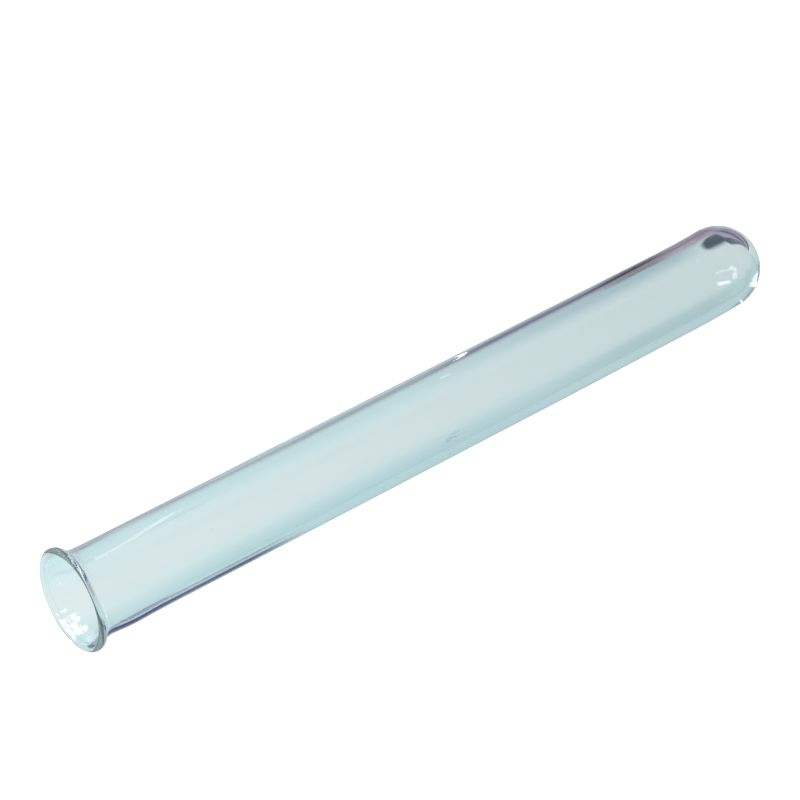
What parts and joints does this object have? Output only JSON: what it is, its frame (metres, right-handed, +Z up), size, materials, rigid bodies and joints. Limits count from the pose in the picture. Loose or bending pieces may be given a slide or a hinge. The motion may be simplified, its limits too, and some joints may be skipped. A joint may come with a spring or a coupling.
{
  "type": "test tube",
  "caption": "Clear glass test tube with a straight round body, a hemispherical closed bottom and a flared, fire-polished beaded rim.",
  "frame": {"origin": "under the middle of the tube, on the surface it lies on", "axes": "+Z up; the tube lies on its side along X, mouth at -X and closed round bottom at +X, its axis falling 0.64 degrees towards the bottom because the bead is wider than the body"},
  "size_m": [0.1802, 0.0218, 0.0218],
  "materials": {
    "glass": "clear, fire-polished, with a faint aqua tint"
  },
  "bodies": {
    "root": {"glass_tube": "glass"}
  },
  "joints": []
}
